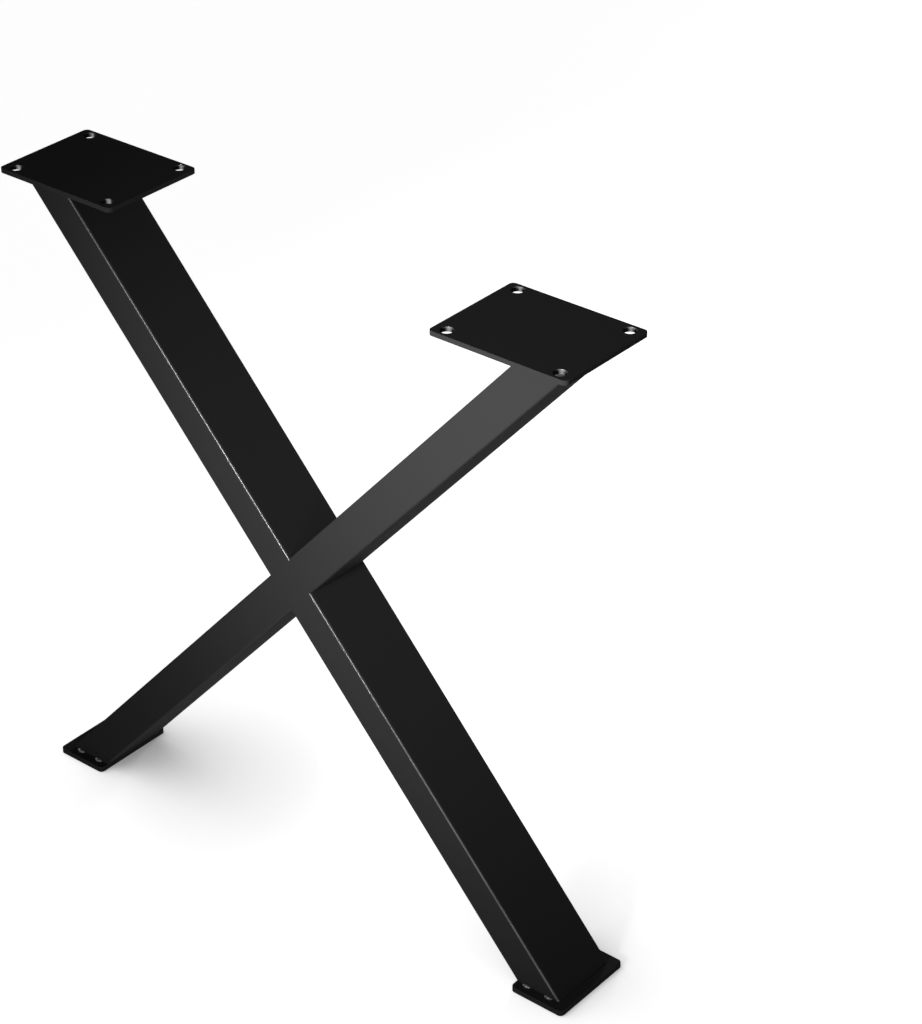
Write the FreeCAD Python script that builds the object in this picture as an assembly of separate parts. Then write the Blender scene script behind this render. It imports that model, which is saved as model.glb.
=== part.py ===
import FreeCAD, Part
import math
import os

# X shaped table leg: two crossed rectangular tubes, two drilled top plates and two foot plates.
# Millimetres. X runs across the leg, Y through its depth, Z upward.
# The origin is on the floor, midway between the two feet.

# Overall size
overall_height = 710.0
overall_width = 700.0

# Rectangular tube, its narrow side seen from the front
tube_width = 40.0
tube_depth = 80.0
tube_wall = 2.0
tube_corner_radius = 2.5

# Flat plates, square at the edges and rounded at the corners
plate_corner_radius = 5.0
plate_end_margin = 10.0
top_plate_length = 153.0
top_plate_side_margin = 20.0
top_plate_thickness = 5.0
foot_plate_side_margin = 10.0
foot_plate_thickness = 6.0

# Holes for the bolts that hold the leg under a table top, inset from the plate edges
bolt_hole_diameter = 13.0
bolt_inset_x = 14.0
bolt_inset_y = 10.0

# Drain holes in the foot plates, centred on the outer face of the tube wall
drain_hole_diameter = 7.0
drain_spacing_x = 27.0

# Heights the tubes stand between
tube_bottom = foot_plate_thickness
tube_top = overall_height - top_plate_thickness
tube_rise = tube_top - tube_bottom

LEFT = -1
RIGHT = 1


def tube_reach():
    """Distance from the middle of the leg to the tube axis at either plate.

    The slanted end of the tube stops one end margin short of the outer plate edge. The slant
    depends on the reach, which makes the reach the smaller root of a quadratic.
    """
    outer_edge = overall_width / 2 - plate_end_margin
    half_rise = tube_rise / 2
    ratio = tube_rise / tube_width
    a = ratio**2 - 1
    b = -2 * ratio**2 * outer_edge
    c = ratio**2 * outer_edge**2 - half_rise**2
    return (-b - math.sqrt(b**2 - 4 * a * c)) / (2 * a)


def tube_lean():
    """Angle in degrees between a tube and the vertical."""
    return math.degrees(math.atan2(tube_reach(), tube_rise / 2))


def footprint_length():
    """Length of the slanted tube end where it stands on a plate."""
    return tube_width / math.cos(math.radians(tube_lean()))


def rounded_rectangle(length, depth, radius):
    """Flat face centred on the origin with four rounded corners."""
    x = length / 2
    y = depth / 2
    if radius <= 0:
        corners = [(-x, -y), (x, -y), (x, y), (-x, y), (-x, -y)]
        outline = Part.makePolygon([FreeCAD.Vector(px, py, 0) for px, py in corners])
        return Part.Face(outline)
    straights = []
    arcs = []
    for turn, (span, reach) in enumerate([(x, y), (y, x), (x, y), (y, x)]):
        spin = FreeCAD.Rotation(FreeCAD.Vector(0, 0, 1), 90 * turn)
        start = spin.multVec(FreeCAD.Vector(radius - span, -reach, 0))
        end = spin.multVec(FreeCAD.Vector(span - radius, -reach, 0))
        straights.append(Part.makeLine(start, end))
        bow = radius * math.sqrt(0.5)
        middle = spin.multVec(FreeCAD.Vector(span - radius + bow, radius - reach - bow, 0))
        finish = spin.multVec(FreeCAD.Vector(span, radius - reach, 0))
        arcs.append(Part.Arc(end, middle, finish).toShape())
    edges = [edge for pair in zip(straights, arcs) for edge in pair]
    return Part.Face(Part.Wire(edges))


def leaning_bar(inset, side):
    """Solid bar through the crossing that leans toward the given side at its top.

    The inset shrinks the section on all four sides, which gives the hollow of the tube.
    """
    length = 2 * (overall_height + overall_width)
    width = tube_width - 2 * inset
    depth = tube_depth - 2 * inset
    bar = rounded_rectangle(width, depth, tube_corner_radius - inset).extrude(FreeCAD.Vector(0, 0, length))
    bar.translate(FreeCAD.Vector(0, 0, -length / 2))
    bar.rotate(FreeCAD.Vector(0, 0, 0), FreeCAD.Vector(0, 1, 0), side * tube_lean())
    bar.translate(FreeCAD.Vector(0, 0, tube_bottom + tube_rise / 2))
    return bar


def between_plates():
    """Block that fills the height between the foot plates and the top plates."""
    block = Part.makeBox(2 * overall_width, 2 * tube_depth, tube_rise)
    block.translate(FreeCAD.Vector(-overall_width, -tube_depth, tube_bottom))
    return block


def leaning_tube(side):
    """Hollow tube with both ends cut level, to stand flat on its plates."""
    tube = leaning_bar(0, side).cut(leaning_bar(tube_wall, side))
    return tube.common(between_plates())


def through_tube():
    """The uncut tube, from the left top plate to the right foot plate."""
    return leaning_tube(LEFT).Solids[0]


def half_tubes():
    """The two halves of the crossing tube, lower one first.

    Their inner ends follow the side and the rounded corners of the through tube.
    """
    halves = leaning_tube(RIGHT).cut(leaning_bar(0, LEFT)).Solids
    return sorted(halves, key=lambda half: half.CenterOfMass.z)


def drilled_plate(length, depth, thickness, holes, diameter):
    """Flat plate centred on the origin, bottom at zero, with holes at the given places."""
    plate = rounded_rectangle(length, depth, plate_corner_radius).extrude(FreeCAD.Vector(0, 0, thickness))
    for x, y in holes:
        drill = Part.makeCylinder(diameter / 2, 3 * thickness, FreeCAD.Vector(x, y, -thickness))
        plate = plate.cut(drill)
    return plate


def four_places(middle, spacing_x, spacing_y):
    """Corners of a rectangle of hole centres whose middle lies on the X axis."""
    half_x = spacing_x / 2
    half_y = spacing_y / 2
    return [(middle + x, y) for x in (-half_x, half_x) for y in (-half_y, half_y)]


def top_plate(side):
    """Plate on top of the leg, reaching inward from the outer edge."""
    depth = tube_depth + 2 * top_plate_side_margin
    middle = side * (overall_width - top_plate_length) / 2
    holes = four_places(0, top_plate_length - 2 * bolt_inset_x, depth - 2 * bolt_inset_y)
    plate = drilled_plate(top_plate_length, depth, top_plate_thickness, holes, bolt_hole_diameter)
    plate.translate(FreeCAD.Vector(middle, 0, tube_top))
    return plate.Solids[0]


def foot_plate(side):
    """Plate under the leg whose inner edge is flush with the tube."""
    length = plate_end_margin + footprint_length()
    depth = tube_depth + 2 * foot_plate_side_margin
    middle = side * (overall_width - length) / 2
    tube_axis = side * tube_reach() - middle
    holes = four_places(tube_axis, drain_spacing_x, tube_depth)
    plate = drilled_plate(length, depth, foot_plate_thickness, holes, drain_hole_diameter)
    plate.translate(FreeCAD.Vector(middle, 0, 0))
    return plate.Solids[0]


def build():
    """Every piece of the leg under the name of its file."""
    lower_half, upper_half = half_tubes()
    return {
        "through_tube": through_tube(),
        "upper_half_tube": upper_half,
        "lower_half_tube": lower_half,
        "top_plate_left": top_plate(LEFT),
        "top_plate_right": top_plate(RIGHT),
        "foot_plate_left": foot_plate(LEFT),
        "foot_plate_right": foot_plate(RIGHT),
    }


os.makedirs("parts", exist_ok=True)
for name, shape in build().items():
    shape.exportStep("parts/" + name + ".step")
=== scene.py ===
"""Studio scene of an X shaped table leg: tubes, plates, weld beads, black coat, lights and camera."""

import logging
import math
from dataclasses import dataclass, field
from enum import Enum
from typing import Callable

import bmesh
import bpy
from mathutils import Matrix, Vector


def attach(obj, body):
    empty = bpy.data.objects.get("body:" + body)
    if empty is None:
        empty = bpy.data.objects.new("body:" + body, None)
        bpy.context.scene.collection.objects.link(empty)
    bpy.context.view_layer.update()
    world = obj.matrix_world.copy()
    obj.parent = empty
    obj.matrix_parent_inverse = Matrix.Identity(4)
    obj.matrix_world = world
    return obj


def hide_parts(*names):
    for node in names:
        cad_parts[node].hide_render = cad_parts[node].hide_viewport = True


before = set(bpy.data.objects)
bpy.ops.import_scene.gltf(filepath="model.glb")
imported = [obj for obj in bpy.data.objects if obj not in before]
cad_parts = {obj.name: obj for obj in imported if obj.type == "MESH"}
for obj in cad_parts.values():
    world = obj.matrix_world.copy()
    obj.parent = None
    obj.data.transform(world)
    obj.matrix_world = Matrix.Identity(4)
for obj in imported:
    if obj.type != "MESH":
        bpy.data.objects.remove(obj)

log = logging.getLogger("table_leg")
BODY = "root"
EDGE_ATTRIBUTE = "rounded_edge"
HOLE_HIGHLIGHT_ATTRIBUTE = "painted_hole_highlight"
MM = 0.001
WHITE = (1.0, 1.0, 1.0, 1.0)

# Nearer than this, corners are one corner and faces are at one height.
MERGE_DISTANCE = 0.002 * MM
SAME_HEIGHT = 0.01 * MM
# Cosine from which a direction counts as parallel to an axis.
PARALLEL = 0.999
# Edges that turn by less are shaded smooth.
SMOOTH_ANGLE = math.radians(32)
# Settings of Blender's bevel and weighted normals: a round profile, and large faces alone count.
ROUND_PROFILE = 0.5
LARGE_FACES = 100

Colour = tuple[float, float, float, float]
Point = tuple[float, float, float]
Pair = tuple[float, float]


class Side(Enum):
    """Side of the leg, as the sign of X."""

    LEFT = -1
    RIGHT = 1


class Axis(Enum):
    """Axes of the leg."""

    DEPTH = (0.0, 1.0, 0.0)
    UP = (0.0, 0.0, 1.0)

    @property
    def letter(self) -> str:
        """Name of the axis in Blender's operators."""
        return "Y" if self is Axis.DEPTH else "Z"


class MeshPart(Enum):
    """Parts of a mesh that are selected in edit mode."""

    EDGE = "EDGE"
    FACE = "FACE"


class PlateKind(Enum):
    """Plates of the leg, named as in their CAD nodes."""

    TOP = "top"
    FOOT = "foot"


@dataclass(frozen=True)
class LegSizes:
    """Driving sizes of the leg, in metres."""

    height: float = 710 * MM
    width: float = 700 * MM
    tube_width: float = 40 * MM
    tube_depth: float = 80 * MM
    tube_wall: float = 2 * MM
    tube_corner_radius: float = 2.5 * MM
    plate_corner_radius: float = 5 * MM
    plate_end_margin: float = 10 * MM
    top_length: float = 153 * MM
    top_side_margin: float = 20 * MM
    top_thickness: float = 5 * MM
    foot_side_margin: float = 10 * MM
    foot_thickness: float = 6 * MM
    bolt_hole_diameter: float = 13 * MM
    bolt_inset_x: float = 14 * MM
    bolt_inset_y: float = 10 * MM
    drain_hole_diameter: float = 7 * MM
    drain_spacing_x: float = 27 * MM

    @property
    def tube_bottom(self) -> float:
        """Height at which the tubes stand on the foot plates."""
        return self.foot_thickness

    @property
    def tube_top(self) -> float:
        """Height at which the tubes meet the top plates."""
        return self.height - self.top_thickness

    @property
    def crossing(self) -> Vector:
        """Middle of the crossing."""
        return Vector((0.0, 0.0, (self.tube_bottom + self.tube_top) / 2))

    @property
    def reach(self) -> float:
        """Distance from the middle of the leg to a tube axis at either plate.

        The slanted end of a tube stops one end margin short of the outer plate edge. The slant
        depends on the reach, which makes the reach the smaller root of a quadratic.

        Returns:
            The distance in metres.
        """
        outer_edge = self.width / 2 - self.plate_end_margin
        rise = self.tube_top - self.tube_bottom
        ratio = rise / self.tube_width
        a = ratio**2 - 1
        b = -2 * ratio**2 * outer_edge
        c = ratio**2 * outer_edge**2 - (rise / 2) ** 2
        return (-b - math.sqrt(b**2 - 4 * a * c)) / (2 * a)

    @property
    def lean(self) -> float:
        """Angle in radians between a tube and the vertical."""
        return math.atan2(self.reach, (self.tube_top - self.tube_bottom) / 2)

    @property
    def footprint(self) -> float:
        """Length of a slanted tube end where it stands on a plate."""
        return self.tube_width / math.cos(self.lean)


def deselect_all() -> None:
    """Leave nothing selected, so that the next operator acts on its own object alone."""
    bpy.ops.object.select_all(action="DESELECT")


def activate(piece: bpy.types.Object) -> None:
    """Select one piece alone and make it the active one.

    Args:
        piece: Object to act on next.
    """
    deselect_all()
    piece.select_set(True)
    bpy.context.view_layer.objects.active = piece


def apply_place(piece: bpy.types.Object) -> None:
    """Move the place, turn and scale of a piece into its mesh."""
    activate(piece)
    bpy.ops.object.transform_apply(location=True, rotation=True, scale=True)


def apply_modifier(piece: bpy.types.Object, kind: str, **settings: object) -> None:
    """Add one modifier and apply it at once.

    Args:
        piece: Object to change.
        kind: Type of the modifier.
        **settings: Values for the modifier.
    """
    activate(piece)
    modifier = piece.modifiers.new(kind.lower(), kind)
    for name, value in settings.items():
        setattr(modifier, name, value)
    bpy.ops.object.modifier_apply(modifier=modifier.name)


def select_parts(piece: bpy.types.Object, kind: MeshPart, test: Callable[..., bool]) -> None:
    """Select the edges or faces of a piece in edit mode that pass a test.

    Args:
        piece: Active object, already in edit mode.
        kind: Edges or faces.
        test: Says whether one edge or face belongs to the selection.
    """
    bpy.ops.mesh.select_mode(type=kind.value)
    bpy.ops.mesh.select_all(action="DESELECT")
    net = bmesh.from_edit_mesh(piece.data)
    net.normal_update()
    for part in net.edges if kind is MeshPart.EDGE else net.faces:
        part.select_set(test(part))
    net.select_flush_mode()
    bmesh.update_edit_mesh(piece.data)


def join_pieces(pieces: list[bpy.types.Object]) -> bpy.types.Object:
    """Join pieces into the first of them.

    Args:
        pieces: Objects to join.

    Returns:
        The first piece, which now holds the meshes of all.
    """
    activate(pieces[0])
    for piece in pieces:
        piece.select_set(True)
    bpy.ops.object.join()
    return pieces[0]


def add_block(
    name: str,
    size: Point,
    centre: Point | Vector,
    lean: float = 0.0,
) -> bpy.types.Object:
    """Add a block at its size, its place still on the object.

    Args:
        name: Name of the new object.
        size: Length along X, Y and Z.
        centre: Middle of the block.
        lean: Turn about the Y axis in radians.

    Returns:
        The new object, its scale in its mesh.
    """
    deselect_all()
    bpy.ops.mesh.primitive_cube_add(size=1.0, location=centre, rotation=(0.0, lean, 0.0), scale=size)
    block = bpy.context.object
    block.name = name
    bpy.ops.object.transform_apply(location=False, rotation=False, scale=True)
    return block


def round_upright_edges(block: bpy.types.Object, radius: float, segments: int) -> None:
    """Round the four edges of a block that run along its own Z axis.

    Args:
        block: Block whose turn is still on the object.
        radius: Radius of the rounding.
        segments: Faces round each edge.
    """

    def upright(edge: bmesh.types.BMEdge) -> bool:
        """True for an edge that runs along Z."""
        run = edge.verts[1].co - edge.verts[0].co
        return abs(run.z) > PARALLEL * run.length

    activate(block)
    bpy.ops.object.mode_set(mode="EDIT")
    select_parts(block, MeshPart.EDGE, upright)
    bpy.ops.mesh.bevel(
        offset_type="OFFSET",
        offset=radius,
        segments=segments,
        profile=ROUND_PROFILE,
        affect="EDGES",
    )
    bpy.ops.object.mode_set(mode="OBJECT")


def cut_away(piece: bpy.types.Object, place: Vector, outward: Vector) -> None:
    """Cut a hollow piece by a plane, drop what lies outward and close the rim of the wall.

    Args:
        piece: Hollow object whose place is in its mesh.
        place: Point on the plane.
        outward: Normal of the plane, toward what is dropped.
    """

    def open_edge(edge: bmesh.types.BMEdge) -> bool:
        """True for an edge that the cut has left open."""
        return edge.is_boundary

    activate(piece)
    bpy.ops.object.mode_set(mode="EDIT")
    bpy.ops.mesh.select_all(action="SELECT")
    bpy.ops.mesh.bisect(plane_co=place, plane_no=outward, clear_outer=True, use_fill=False)
    select_parts(piece, MeshPart.EDGE, open_edge)
    bpy.ops.mesh.bridge_edge_loops()
    bpy.ops.object.mode_set(mode="OBJECT")


def subtract(piece: bpy.types.Object, cutter: bpy.types.Object) -> None:
    """Take the cutter away from a piece and delete the cutter."""
    apply_modifier(piece, "BOOLEAN", operation="DIFFERENCE", object=cutter, solver="EXACT")
    bpy.data.objects.remove(cutter)


def copy_turned(piece: bpy.types.Object, name: str, axis: Axis, centre: Vector) -> bpy.types.Object:
    """Copy a piece with its own mesh, turned half a turn.

    Args:
        piece: Finished object whose place is in its mesh.
        name: Name of the copy.
        axis: Axis of the turn.
        centre: Point that stays in place.

    Returns:
        The copy.
    """
    activate(piece)
    bpy.ops.object.duplicate(linked=False)
    copy = bpy.context.object
    copy.name = name
    bpy.ops.object.mode_set(mode="EDIT")
    bpy.ops.mesh.select_all(action="SELECT")
    bpy.ops.transform.rotate(value=math.pi, orient_axis=axis.letter, center_override=centre)
    bpy.ops.object.mode_set(mode="OBJECT")
    return copy


def finish_surface(piece: bpy.types.Object, flat_axis: Axis, burnish: float) -> None:
    """Clean a mesh, shade it smooth only round its corners, and mark the corners that face up and
    forward for burnish and painted sheen.

    Args:
        piece: Object whose place is in its mesh.
        flat_axis: Axis along which the main faces look; corners turn away from it.
        burnish: How far the corners that face up and forward are burnished and given a painted sheen,
            from 0 to 1.
    """
    activate(piece)
    bpy.ops.object.mode_set(mode="EDIT")
    bpy.ops.mesh.select_all(action="SELECT")
    bpy.ops.mesh.remove_doubles(threshold=MERGE_DISTANCE)
    bpy.ops.mesh.normals_make_consistent(inside=False)
    bpy.ops.object.mode_set(mode="OBJECT")
    bpy.ops.object.shade_smooth_by_angle(angle=SMOOTH_ANGLE)
    apply_modifier(
        piece,
        "WEIGHTED_NORMAL",
        mode="FACE_AREA",
        keep_sharp=True,
        weight=LARGE_FACES,
    )
    mark_rounded_edges(piece, flat_axis, burnish)


def mark_rounded_edges(piece: bpy.types.Object, flat_axis: Axis, burnish: float) -> None:
    """Write how burnished the surface is: 0 on a flat, most midway round a corner that faces up and
    forward.

    Only the corners that look up and forward, toward the key light, get it: a glossier coat and a
    slightly lighter tone, which is painted sheen.

    Args:
        piece: Object with its final normals.
        flat_axis: Axis along which the main faces look.
        burnish: Value midway round such a corner.
    """
    mark = piece.data.attributes.new(EDGE_ATTRIBUTE, "FLOAT", "CORNER")
    axis = Vector(flat_axis.value)
    midway = math.sqrt(0.5)
    for entry, normal in zip(mark.data, piece.data.corner_normals):
        along = min(1.0, abs(normal.vector.dot(axis)))
        # Painted sheen: only corners that face up and forward, toward the key light, are marked.
        faces_key_light = normal.vector.y < 0.0 < normal.vector.z
        entry.value = faces_key_light * burnish * min(along, math.sqrt(1.0 - along**2)) / midway


def coat_piece(piece: bpy.types.Object, coat: bpy.types.Material) -> None:
    """Coat a piece and let it ride on the leg.

    Args:
        piece: Finished object.
        coat: Material of the coat.
    """
    piece.data.materials.clear()
    piece.data.materials.append(coat)
    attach(piece, BODY)
    log.info("%s: %d faces", piece.name, len(piece.data.polygons))


def place_on_frame(piece: bpy.types.Object, node: str, coat: bpy.types.Material) -> None:
    """Coat a piece and let it stand for its CAD node."""
    coat_piece(piece, coat)
    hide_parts(node)


@dataclass(frozen=True)
class BlackCoat:
    """Black powder coat: matt flats, fine grain, burnished corners with a painted sheen, and a painted
    highlight of bright steel on the hole walls that face the camera.
    """

    name: str = "black_powder_coat"
    colour: Colour = (0.035, 0.035, 0.036, 1.0)
    # Slightly lighter tone on the corners that face up and forward: painted sheen, broken in patches
    # like wear.
    worn_sheen_colour: Colour = (0.04, 0.04, 0.041, 1.0)
    # Bright metallic steel on the hole walls that face the camera: a painted highlight.
    hole_highlight_colour: Colour = (0.32, 0.32, 0.33, 1.0)
    specular: float = 0.012
    roughness: Pair = (0.7, 0.82)
    burnish_roughness: float = 0.32
    burnish_ior: float = 1.75
    hole_highlight_roughness: float = 0.3
    grain_size: float = 1.3 * MM
    grain_detail: float = 2.0
    grain_height: float = 0.02 * MM
    grain_strength: float = 0.6
    mottle_size: float = 35 * MM
    mottle_detail: float = 3.0
    patch_range: Pair = (0.3, 0.7)
    patch_floor: float = 0.7

    def build(self) -> bpy.types.Material:
        """Make the material.

        Returns:
            The new material, ready to be put on a mesh.
        """
        material = bpy.data.materials.new(self.name)
        material.use_nodes = True
        tree = material.node_tree
        shader = tree.nodes["Principled BSDF"]
        shader.inputs["Specular IOR Level"].default_value = self.specular
        shader.inputs["Coat Roughness"].default_value = self.burnish_roughness
        shader.inputs["Coat IOR"].default_value = self.burnish_ior
        place = tree.nodes.new("ShaderNodeTexCoord")
        edge = tree.nodes.new("ShaderNodeAttribute")
        edge.attribute_name = EDGE_ATTRIBUTE
        hole_highlight = tree.nodes.new("ShaderNodeAttribute")
        hole_highlight.attribute_name = HOLE_HIGHLIGHT_ATTRIBUTE
        grain = self.noise(tree, place, self.grain_size, self.grain_detail)
        mottle = self.noise(tree, place, self.mottle_size, self.mottle_detail)
        wear_and_sheen = self.wear_and_sheen(tree, edge, mottle)
        self.tint(tree, shader, wear_and_sheen, hole_highlight)
        self.vary_roughness(tree, shader, mottle, hole_highlight)
        self.polish(tree, shader, wear_and_sheen)
        self.raise_grain(tree, shader, grain)
        return material

    @staticmethod
    def noise(
        tree: bpy.types.NodeTree,
        place: bpy.types.Node,
        size: float,
        detail: float,
    ) -> bpy.types.Node:
        """Add a noise pattern that is fixed to the object.

        Args:
            tree: Node tree of the material.
            place: Texture coordinate node.
            size: Size of one cell in metres.
            detail: Number of finer layers.

        Returns:
            The noise node.
        """
        node = tree.nodes.new("ShaderNodeTexNoise")
        node.inputs["Scale"].default_value = 1.0 / size
        node.inputs["Detail"].default_value = detail
        tree.links.new(place.outputs["Object"], node.inputs["Vector"])
        return node

    def wear_and_sheen(
        self,
        tree: bpy.types.NodeTree,
        edge: bpy.types.Node,
        mottle: bpy.types.Node,
    ) -> bpy.types.NodeSocket:
        """Break the burnish and its painted sheen up a little, as handling does.

        Args:
            tree: Node tree of the material.
            edge: How burnished the surface is before it is broken up.
            mottle: Pattern that breaks it up.

        Returns:
            Socket with 0 on the flats and up to 1 on burnished corners.
        """
        patchy = tree.nodes.new("ShaderNodeMapRange")
        patchy.inputs["From Min"].default_value = self.patch_range[0]
        patchy.inputs["From Max"].default_value = self.patch_range[1]
        patchy.inputs["To Min"].default_value = self.patch_floor
        tree.links.new(mottle.outputs["Fac"], patchy.inputs["Value"])
        product = tree.nodes.new("ShaderNodeMath")
        product.operation = "MULTIPLY"
        tree.links.new(edge.outputs["Fac"], product.inputs[0])
        tree.links.new(patchy.outputs["Result"], product.inputs[1])
        return product.outputs["Value"]

    def tint(
        self,
        tree: bpy.types.NodeTree,
        shader: bpy.types.Node,
        wear_and_sheen: bpy.types.NodeSocket,
        hole_highlight: bpy.types.Node,
    ) -> None:
        """Let the black turn a shade lighter on burnished corners, which is partly painted sheen, and
        paint a highlight of bright steel where the hole walls face the camera.

        Args:
            tree: Node tree of the material.
            shader: Shader to feed.
            wear_and_sheen: How burnished the surface is, with its painted sheen.
            hole_highlight: How far the painted highlight of bright steel covers the surface.
        """
        mix = tree.nodes.new("ShaderNodeMix")
        mix.data_type = "RGBA"
        mix.inputs["A"].default_value = self.colour
        mix.inputs["B"].default_value = self.worn_sheen_colour
        tree.links.new(wear_and_sheen, mix.inputs["Factor"])
        # Painted highlight: bright metallic steel on the strip of hole wall that faces the camera.
        highlight_strip = tree.nodes.new("ShaderNodeMix")
        highlight_strip.data_type = "RGBA"
        highlight_strip.inputs["B"].default_value = self.hole_highlight_colour
        tree.links.new(hole_highlight.outputs["Fac"], highlight_strip.inputs["Factor"])
        tree.links.new(mix.outputs["Result"], highlight_strip.inputs["A"])
        tree.links.new(highlight_strip.outputs["Result"], shader.inputs["Base Color"])
        tree.links.new(hole_highlight.outputs["Fac"], shader.inputs["Metallic"])

    def vary_roughness(
        self,
        tree: bpy.types.NodeTree,
        shader: bpy.types.Node,
        mottle: bpy.types.Node,
        hole_highlight: bpy.types.Node,
    ) -> None:
        """Let the sheen drift from place to place and be smoother on the painted highlight of bright
        steel.

        Args:
            tree: Node tree of the material.
            shader: Shader to feed.
            mottle: Pattern of the drift.
            hole_highlight: How far the painted highlight of bright steel covers the surface.
        """
        spread = tree.nodes.new("ShaderNodeMapRange")
        spread.inputs["To Min"].default_value = self.roughness[0]
        spread.inputs["To Max"].default_value = self.roughness[1]
        tree.links.new(mottle.outputs["Fac"], spread.inputs["Value"])
        smoother = tree.nodes.new("ShaderNodeMix")
        smoother.data_type = "FLOAT"
        smoother.inputs["B"].default_value = self.hole_highlight_roughness
        tree.links.new(hole_highlight.outputs["Fac"], smoother.inputs["Factor"])
        tree.links.new(spread.outputs["Result"], smoother.inputs["A"])
        tree.links.new(smoother.outputs["Result"], shader.inputs["Roughness"])

    @staticmethod
    def polish(tree: bpy.types.NodeTree, shader: bpy.types.Node, wear_and_sheen: bpy.types.NodeSocket) -> None:
        """Put a glossier skin where the coat is burnished."""
        tree.links.new(wear_and_sheen, shader.inputs["Coat Weight"])

    def raise_grain(
        self,
        tree: bpy.types.NodeTree,
        shader: bpy.types.Node,
        grain: bpy.types.Node,
    ) -> None:
        """Give the coat its fine orange peel.

        Args:
            tree: Node tree of the material.
            shader: Shader to feed.
            grain: Pattern of the peel.
        """
        bump = tree.nodes.new("ShaderNodeBump")
        bump.inputs["Strength"].default_value = self.grain_strength
        bump.inputs["Distance"].default_value = self.grain_height
        tree.links.new(grain.outputs["Fac"], bump.inputs["Height"])
        tree.links.new(bump.outputs["Normal"], shader.inputs["Normal"])


@dataclass(frozen=True)
class PooledCoat(BlackCoat):
    """The same coat where it has run together over a weld bead, glossier than on a flat."""

    name: str = "pooled_powder_coat"
    specular: float = 0.5
    roughness: Pair = (0.22, 0.3)


@dataclass
class CrossedTubes:
    """One through tube and the two halves of the tube that crosses it."""

    sizes: LegSizes
    coat: bpy.types.Material
    corner_segments: int = 8
    cutter_margin: float = 5 * MM
    seam: float = 0.9 * MM
    seam_depth: float = 0.54 * MM
    through_burnish: float = 1.0
    half_burnish: float = 0.1

    def build(self) -> None:
        """Model the three tubes and put them on the frame.

        The lower half is the upper one turned over, with the burnish and painted sheen of its corners.
        """
        through = self.hollow_tube("tube_through", Side.LEFT)
        finish_surface(through, Axis.DEPTH, self.through_burnish)
        upper = self.hollow_tube("tube_upper_half", Side.RIGHT)
        self.cope(upper)
        finish_surface(upper, Axis.DEPTH, self.half_burnish)
        lower = copy_turned(upper, "tube_lower_half", Axis.DEPTH, self.sizes.crossing)
        place_on_frame(through, "through_tube", self.coat)
        place_on_frame(upper, "upper_half_tube", self.coat)
        place_on_frame(lower, "lower_half_tube", self.coat)

    def bar(self, name: str, side: Side) -> bpy.types.Object:
        """Add a solid bar with rounded corners, longer than the tube.

        Args:
            name: Name of the new object.
            side: Side toward which the top leans.

        Returns:
            The bar, its lean still on the object.
        """
        sizes = self.sizes
        long_enough = 2 * (sizes.height + sizes.width)
        section = (sizes.tube_width, sizes.tube_depth, long_enough)
        block = add_block(name, section, sizes.crossing, side.value * sizes.lean)
        round_upright_edges(block, sizes.tube_corner_radius, self.corner_segments)
        return block

    def hollow_tube(self, name: str, side: Side) -> bpy.types.Object:
        """Make a tube with its wall, cut level at both plates.

        Args:
            name: Name of the new object.
            side: Side toward which the top leans.

        Returns:
            The tube, its place in its mesh.
        """

        def end_cap(face: bmesh.types.BMFace) -> bool:
            """True for the two ends of the bar."""
            return abs(face.normal.z) > PARALLEL

        tube = self.bar(name, side)
        bpy.ops.object.mode_set(mode="EDIT")
        select_parts(tube, MeshPart.FACE, end_cap)
        bpy.ops.mesh.delete(type="ONLY_FACE")
        bpy.ops.object.mode_set(mode="OBJECT")
        wall = self.sizes.tube_wall
        apply_modifier(tube, "SOLIDIFY", thickness=wall, offset=-1.0, use_even_offset=True)
        apply_place(tube)
        self.seat(tube, self.sizes.tube_top, 1.0)
        self.seat(tube, self.sizes.tube_bottom, -1.0)
        return tube

    def seat(self, tube: bpy.types.Object, height: float, outward: float) -> None:
        """Cut a tube level and leave the narrow seam that shows between its end and the plate.

        Args:
            tube: Tube whose place is in its mesh.
            height: Height of the plate that the tube meets.
            outward: 1.0 at the top and -1.0 at the bottom.
        """
        shoulder = height - outward * self.seam

        def rim(face: bmesh.types.BMFace) -> bool:
            """True for the cut end of the wall."""
            return abs(face.calc_center_median().z - shoulder) < SAME_HEIGHT

        cut_away(tube, Vector((0.0, 0.0, shoulder)), Vector((0.0, 0.0, outward)))
        bpy.ops.object.mode_set(mode="EDIT")
        select_parts(tube, MeshPart.FACE, rim)
        bpy.ops.mesh.inset(thickness=self.seam_depth, use_boundary=True)
        to_plate = (0.0, 0.0, outward * self.seam)
        bpy.ops.mesh.extrude_region_move(TRANSFORM_OT_translate={"value": to_plate})
        bpy.ops.object.mode_set(mode="OBJECT")

    def cope(self, tube: bpy.types.Object) -> None:
        """Drop the lower half of a tube and fit its end to the side and corners of the through tube.

        Args:
            tube: Whole tube that leans to the right, its place in its mesh.
        """
        lean = self.sizes.lean
        down_left = -Vector((math.cos(lean), 0.0, math.sin(lean)))
        cut_away(tube, self.sizes.crossing, down_left)

        def front_or_back(face: bmesh.types.BMFace) -> bool:
            """True for the two narrow flats of the bar."""
            return abs(face.normal.y) > PARALLEL

        cutter = self.bar("coping_cutter", Side.LEFT)
        bpy.ops.object.mode_set(mode="EDIT")
        select_parts(cutter, MeshPart.FACE, front_or_back)
        grow = {"value": self.cutter_margin}
        bpy.ops.mesh.extrude_region_shrink_fatten(TRANSFORM_OT_shrink_fatten=grow)
        bpy.ops.object.mode_set(mode="OBJECT")
        apply_place(cutter)
        subtract(tube, cutter)


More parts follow.
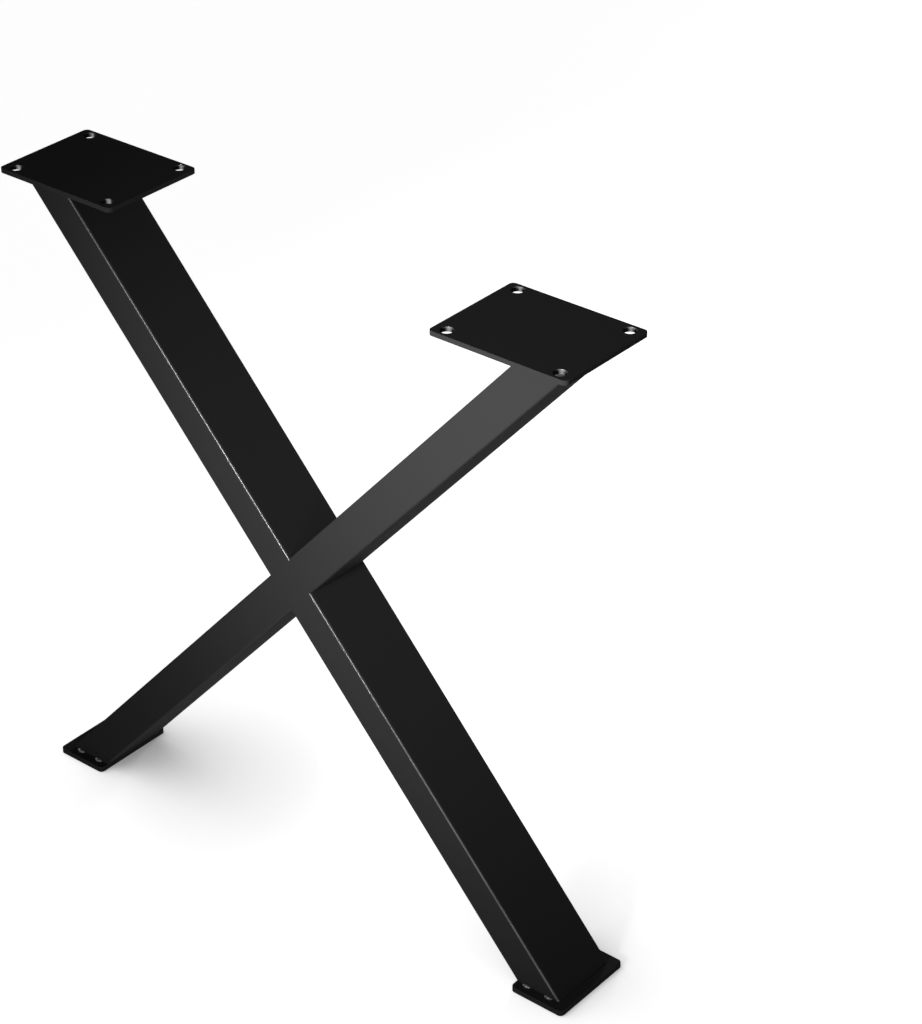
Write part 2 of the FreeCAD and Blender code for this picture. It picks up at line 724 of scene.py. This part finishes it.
@dataclass
class DrilledPlate:
    """Flat plate with rounded corners, lightly rounded edges and four holes.

    The drill depth is a number of plate thicknesses. The highlight side of a hole is a direction in X
    and Y from its middle, toward the far wall that faces the camera, and the painted highlight strip
    goes as far round as the cosine highlight_from.
    """

    sizes: LegSizes
    coat: bpy.types.Material
    kind: PlateKind
    length: float
    depth: float
    thickness: float
    bottom: float
    hole_diameter: float
    hole_middle: float
    hole_spacing: Pair
    hole_margin: float = 0.1 * MM
    drill_depth: float = 3.0
    edge_radius: float = 0.4 * MM
    edge_segments: int = 3
    edge_angle: float = math.radians(40)
    burnish: float = 0.3
    # The strip faces the camera and carries a painted highlight.
    highlight_side: Pair = (-0.38, 0.92)
    highlight_from: float = 0.84
    corner_segments: int = 10
    hole_segments: int = 56

    def build(self) -> None:
        """Model the right plate, copy it to the left, and put both on the frame."""
        middle = (self.sizes.width - self.length) / 2
        plate = add_block(
            f"plate_{self.kind.value}_right",
            (self.length, self.depth, self.thickness),
            (middle, 0.0, self.bottom + self.thickness / 2),
        )
        round_upright_edges(plate, self.sizes.plate_corner_radius, self.corner_segments)
        apply_place(plate)
        subtract(plate, self.drills())
        apply_modifier(
            plate,
            "BEVEL",
            width=self.edge_radius,
            segments=self.edge_segments,
            limit_method="ANGLE",
            angle_limit=self.edge_angle,
            harden_normals=False,
        )
        finish_surface(plate, Axis.UP, self.burnish)
        left = copy_turned(plate, f"plate_{self.kind.value}_left", Axis.UP, Vector((0.0, 0.0, 0.0)))
        left.data.attributes.remove(left.data.attributes[EDGE_ATTRIBUTE])
        mark_rounded_edges(left, Axis.UP, self.burnish)
        self.paint_hole_highlights(plate, Side.RIGHT)
        self.paint_hole_highlights(left, Side.LEFT)
        place_on_frame(plate, f"{self.kind.value}_plate_right", self.coat)
        place_on_frame(left, f"{self.kind.value}_plate_left", self.coat)

    def hole_places(self) -> list[Pair]:
        """Centres of the four holes of the right plate, as X and Y."""
        return [
            (self.hole_middle + step_x * self.hole_spacing[0], step_y * self.hole_spacing[1])
            for step_x in (-0.5, 0.5)
            for step_y in (-0.5, 0.5)
        ]

    def paint_hole_highlights(self, plate: bpy.types.Object, side: Side) -> None:
        """Mark the strip of each hole wall that faces the camera, where bright steel is painted as a
        highlight.

        Args:
            plate: One of the two plates.
            side: Side of the leg on which it lies.
        """
        mark = plate.data.attributes.new(HOLE_HIGHLIGHT_ATTRIBUTE, "FLOAT", "CORNER")
        highlight_strip = Vector(self.highlight_side).normalized()
        reach = self.hole_diameter / 2 + self.hole_margin
        for x, y in self.hole_places():
            middle = Vector((side.value * x, y))
            for face in plate.data.polygons:
                if (face.center.xy - middle).length > reach:
                    continue
                for corner in face.loop_indices:
                    vertex = plate.data.vertices[plate.data.loops[corner].vertex_index]
                    along = (vertex.co.xy - middle).normalized().dot(highlight_strip)
                    hole_highlight = (along - self.highlight_from) / (1.0 - self.highlight_from)
                    mark.data[corner].value = max(0.0, hole_highlight)

    def drills(self) -> bpy.types.Object:
        """Make four upright cylinders at the hole places, joined into one cutter.

        Returns:
            The cutter, its place in its mesh.
        """
        deselect_all()
        drills = []
        for x, y in self.hole_places():
            bpy.ops.mesh.primitive_cylinder_add(
                vertices=self.hole_segments,
                radius=self.hole_diameter / 2,
                depth=self.drill_depth * self.thickness,
                location=(x, y, self.bottom + self.thickness / 2),
            )
            drills.append(bpy.context.object)
        cutter = join_pieces(drills)
        apply_place(cutter)
        return cutter


def top_plates(sizes: LegSizes, coat: bpy.types.Material) -> DrilledPlate:
    """Describe the plates under the table top, with four bolt holes each.

    Args:
        sizes: Sizes of the leg.
        coat: Material of the coat.

    Returns:
        The plates, not built yet.
    """
    depth = sizes.tube_depth + 2 * sizes.top_side_margin
    return DrilledPlate(
        sizes=sizes,
        coat=coat,
        kind=PlateKind.TOP,
        length=sizes.top_length,
        depth=depth,
        thickness=sizes.top_thickness,
        bottom=sizes.tube_top,
        hole_diameter=sizes.bolt_hole_diameter,
        hole_middle=(sizes.width - sizes.top_length) / 2,
        hole_spacing=(sizes.top_length - 2 * sizes.bolt_inset_x, depth - 2 * sizes.bolt_inset_y),
    )


def foot_plates(sizes: LegSizes, coat: bpy.types.Material) -> DrilledPlate:
    """Describe the plates on the floor, with four holes each that straddle the tube wall.

    Args:
        sizes: Sizes of the leg.
        coat: Material of the coat.

    Returns:
        The plates, not built yet.
    """
    return DrilledPlate(
        sizes=sizes,
        coat=coat,
        kind=PlateKind.FOOT,
        length=sizes.plate_end_margin + sizes.footprint,
        depth=sizes.tube_depth + 2 * sizes.foot_side_margin,
        thickness=sizes.foot_thickness,
        bottom=0.0,
        hole_diameter=sizes.drain_hole_diameter,
        hole_middle=sizes.reach,
        hole_spacing=(sizes.drain_spacing_x, sizes.tube_depth),
    )


@dataclass
class TackWelds:
    """Small weld beads in front of and behind each tube foot, over the holes that straddle its wall."""

    sizes: LegSizes
    coat: bpy.types.Material
    radius: float = 3.7 * MM
    side_lumps: tuple[Pair, ...] = ((-2.4 * MM, 2.9 * MM), (2.3 * MM, 2.7 * MM))
    lump_segments: int = 32
    lump_rings: int = 20
    voxel: float = 0.3 * MM
    smooth_factor: float = 0.5
    smooth_turns: int = 4
    sunk: float = 0.6 * MM
    burnish: float = 1.0

    def build(self) -> None:
        """Model the beads of the right foot, burnished all over, copy them to the left and coat them."""
        places = [self.sizes.reach + step * self.sizes.drain_spacing_x for step in (-0.5, 0.5)]
        beads = [self.bead(x) for x in places]
        axis = Vector((self.sizes.reach, 0.0, 0.0))
        beads += [copy_turned(bead, "bead", Axis.UP, axis) for bead in beads]
        right = join_pieces(beads)
        right.name = "tack_welds_right"
        finish_surface(right, Axis.UP, self.burnish)
        for entry in right.data.attributes[EDGE_ATTRIBUTE].data:
            entry.value = self.burnish
        left = copy_turned(right, "tack_welds_left", Axis.UP, Vector((0.0, 0.0, 0.0)))
        for piece in (right, left):
            coat_piece(piece, self.coat)

    def bead(self, x: float) -> bpy.types.Object:
        """Make one lumpy bead at the front of the right foot.

        Args:
            x: Place of its middle along X.

        Returns:
            The bead, cut off just inside the tube and the plate.
        """
        lumps = []
        for step, radius in ((0.0, self.radius), *self.side_lumps):
            deselect_all()
            centre = (x + step, -self.sizes.tube_depth / 2, self.sizes.tube_bottom)
            bpy.ops.mesh.primitive_uv_sphere_add(
                segments=self.lump_segments,
                ring_count=self.lump_rings,
                radius=radius,
                location=centre,
            )
            lumps.append(bpy.context.object)
        bead = join_pieces(lumps)
        bead.name = "bead"
        apply_place(bead)
        apply_modifier(bead, "REMESH", mode="VOXEL", voxel_size=self.voxel)
        apply_modifier(bead, "SMOOTH", factor=self.smooth_factor, iterations=self.smooth_turns)
        inside_tube = Vector((0.0, self.sunk - self.sizes.tube_depth / 2, 0.0))
        inside_plate = Vector((0.0, 0.0, self.sizes.tube_bottom - self.sunk))
        bpy.ops.object.mode_set(mode="EDIT")
        for place, outward in ((inside_tube, (0.0, 1.0, 0.0)), (inside_plate, (0.0, 0.0, -1.0))):
            bpy.ops.mesh.select_all(action="SELECT")
            bpy.ops.mesh.bisect(plane_co=place, plane_no=outward, clear_outer=True, use_fill=True)
        bpy.ops.object.mode_set(mode="OBJECT")
        return bead


@dataclass
class StudioCamera:
    """Camera at the height and angle from which the leg is seen.

    Right and down are the directions of the picture in the frame of the leg.
    """

    place: Point = (1.6445, -1.7731, 1.8795)
    right: Point = (0.768989, 0.639208, -0.008331)
    down: Point = (0.326125, -0.403481, -0.854895)
    focal_pixels: float = 2884.0
    centre_pixels: Pair = (436.7, 516.3)
    frame_pixels: tuple[int, int] = (922, 1024)
    sensor_width: float = 36.0
    far_clip: float = 50.0

    def build(self) -> None:
        """Make the camera and look through it."""
        data = bpy.data.cameras.new("studio_camera")
        long_side = max(self.frame_pixels)
        data.sensor_width = self.sensor_width
        data.lens = self.focal_pixels / long_side * self.sensor_width
        data.shift_x = (self.frame_pixels[0] / 2 - self.centre_pixels[0]) / long_side
        data.shift_y = (self.centre_pixels[1] - self.frame_pixels[1] / 2) / long_side
        data.clip_end = self.far_clip
        camera = bpy.data.objects.new("studio_camera", data)
        bpy.context.scene.collection.objects.link(camera)
        right = Vector(self.right).normalized()
        up = -Vector(self.down).normalized()
        back = right.cross(up)
        turn = Matrix((right, up, back)).transposed()
        camera.matrix_world = Matrix.Translation(Vector(self.place)) @ turn.to_4x4()
        bpy.context.scene.camera = camera


@dataclass
class SoftBox:
    """One square studio light.

    The level is how light a white card at its aim looks, for a light whose spread is not narrowed.
    The spread is in degrees.
    """

    name: str
    place: Point
    aim: Point
    size: float
    level: float
    spread: float = 180.0

    def build(self) -> None:
        """Make the light and turn it toward its aim."""
        path = Vector(self.aim) - Vector(self.place)
        data = bpy.data.lights.new(self.name, "AREA")
        data.shape = "SQUARE"
        data.size = self.size
        data.spread = math.radians(self.spread)
        data.energy = self.level * math.pi**2 * path.length_squared
        lamp = bpy.data.objects.new(self.name, data)
        bpy.context.scene.collection.objects.link(lamp)
        lamp.location = self.place
        lamp.rotation_euler = path.to_track_quat("-Z", "Y").to_euler()


@dataclass
class Studio:
    """White floor, white surroundings, dim ceiling and the soft lights."""

    floor_size: float = 60.0
    floor_colour: Colour = (0.8, 0.8, 0.8, 1.0)
    floor_roughness: float = 0.9
    floor_lift: float = 0.92
    shade_reach: float = 0.2
    shade_side: Point = (-0.52, -0.5, 0.69)
    shade_samples: int = 16
    fill_level: float = 0.065
    white_level: float = 1.0
    ceiling_level: float = 0.15
    white_up_to: float = 0.2
    ceiling_from: float = 0.5
    lights: list[SoftBox] = field(
        default_factory=lambda: [
            SoftBox(
                name="key_softbox",
                place=(0.45, -2.1, 0.95),
                aim=(0.26, 0.0, 0.64),
                size=0.4,
                level=0.078,
                spread=34.0,
            ),
            SoftBox(
                name="low_softbox",
                place=(1.35, -1.9, 0.45),
                aim=(-0.42, 0.0, 0.0),
                size=0.3,
                level=0.006,
                spread=34.0,
            ),
            SoftBox(
                name="back_softbox",
                place=(-0.7, 2.3, 0.35),
                aim=(0.0, 0.0, 0.35),
                size=0.5,
                level=0.08,
                spread=60.0,
            ),
        ]
    )

    def build(self) -> None:
        """Make everything that surrounds the leg."""
        self.floor()
        self.world()
        for light in self.lights:
            light.build()

    @staticmethod
    def seen_directly(tree: bpy.types.NodeTree) -> bpy.types.NodeSocket:
        """Tell rays that show a surface from rays that light one.

        Args:
            tree: Node tree of the floor or of the surroundings.

        Returns:
            Socket with 1 for rays of the camera, of reflections and of clear materials, else 0.
        """
        rays = tree.nodes.new("ShaderNodeLightPath")
        seen = rays.outputs["Is Camera Ray"]
        for kind in ("Is Glossy Ray", "Is Transmission Ray"):
            either = tree.nodes.new("ShaderNodeMath")
            either.operation = "MAXIMUM"
            tree.links.new(seen, either.inputs[0])
            tree.links.new(rays.outputs[kind], either.inputs[1])
            seen = either.outputs["Value"]
        return seen

    def floor(self) -> None:
        """Lay a plain pale floor that looks white and keeps the shadow of the leg."""
        deselect_all()
        bpy.ops.mesh.primitive_plane_add(size=self.floor_size, location=(0.0, 0.0, 0.0))
        plane = bpy.context.object
        plane.name = "studio_floor"
        material = bpy.data.materials.new("pale_floor")
        material.use_nodes = True
        tree = material.node_tree
        shader = tree.nodes["Principled BSDF"]
        shader.inputs["Base Color"].default_value = self.floor_colour
        shader.inputs["Roughness"].default_value = self.floor_roughness
        shader.inputs["Emission Color"].default_value = WHITE
        lift = tree.nodes.new("ShaderNodeMath")
        lift.operation = "MULTIPLY"
        lift.inputs[1].default_value = self.floor_lift
        tree.links.new(self.seen_directly(tree), lift.inputs[0])
        shaded = tree.nodes.new("ShaderNodeMath")
        shaded.operation = "MULTIPLY"
        tree.links.new(lift.outputs["Value"], shaded.inputs[0])
        tree.links.new(self.soft_shade(tree), shaded.inputs[1])
        tree.links.new(shaded.outputs["Value"], shader.inputs["Emission Strength"])
        plane.data.materials.append(material)

    def soft_shade(self, tree: bpy.types.NodeTree) -> bpy.types.NodeSocket:
        """Keep the soft shadow of the leg in the glow of the floor, on the side opposite to shade_side.

        Args:
            tree: Node tree of the floor.

        Returns:
            Socket with 1 on the open floor and less where the leg stands over it.
        """
        side = tree.nodes.new("ShaderNodeCombineXYZ")
        for axis, value in zip("XYZ", self.shade_side):
            side.inputs[axis].default_value = value
        shade = tree.nodes.new("ShaderNodeAmbientOcclusion")
        shade.samples = self.shade_samples
        shade.inputs["Distance"].default_value = self.shade_reach
        tree.links.new(side.outputs["Vector"], shade.inputs["Normal"])
        return shade.outputs["AO"]

    def world(self) -> None:
        """Surround the scene with plain soft light that shows as white walls under a dim ceiling."""
        world = bpy.data.worlds.new("studio_world")
        bpy.context.scene.world = world
        world.use_nodes = True
        tree = world.node_tree
        direction = tree.nodes.new("ShaderNodeTexCoord")
        split = tree.nodes.new("ShaderNodeSeparateXYZ")
        tree.links.new(direction.outputs["Generated"], split.inputs["Vector"])
        walls = tree.nodes.new("ShaderNodeMapRange")
        walls.inputs["From Min"].default_value = self.white_up_to
        walls.inputs["From Max"].default_value = self.ceiling_from
        walls.inputs["To Min"].default_value = self.white_level
        walls.inputs["To Max"].default_value = self.ceiling_level
        tree.links.new(split.outputs["Z"], walls.inputs["Value"])
        level = tree.nodes.new("ShaderNodeMix")
        level.data_type = "FLOAT"
        level.inputs["A"].default_value = self.fill_level
        tree.links.new(self.seen_directly(tree), level.inputs["Factor"])
        tree.links.new(walls.outputs["Result"], level.inputs["B"])
        tree.links.new(level.outputs["Result"], tree.nodes["Background"].inputs["Strength"])
        tree.nodes["Background"].inputs["Color"].default_value = WHITE


def main() -> None:
    """Build the scene piece by piece."""
    logging.basicConfig(level=logging.INFO)
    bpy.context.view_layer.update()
    bpy.context.scene.view_settings.view_transform = "Standard"
    sizes = LegSizes()
    coat = BlackCoat().build()
    pooled_coat = PooledCoat().build()
    CrossedTubes(sizes, coat).build()
    top_plates(sizes, coat).build()
    foot_plates(sizes, coat).build()
    TackWelds(sizes, pooled_coat).build()
    Studio().build()
    StudioCamera().build()


if __name__ == "__main__":
    main()
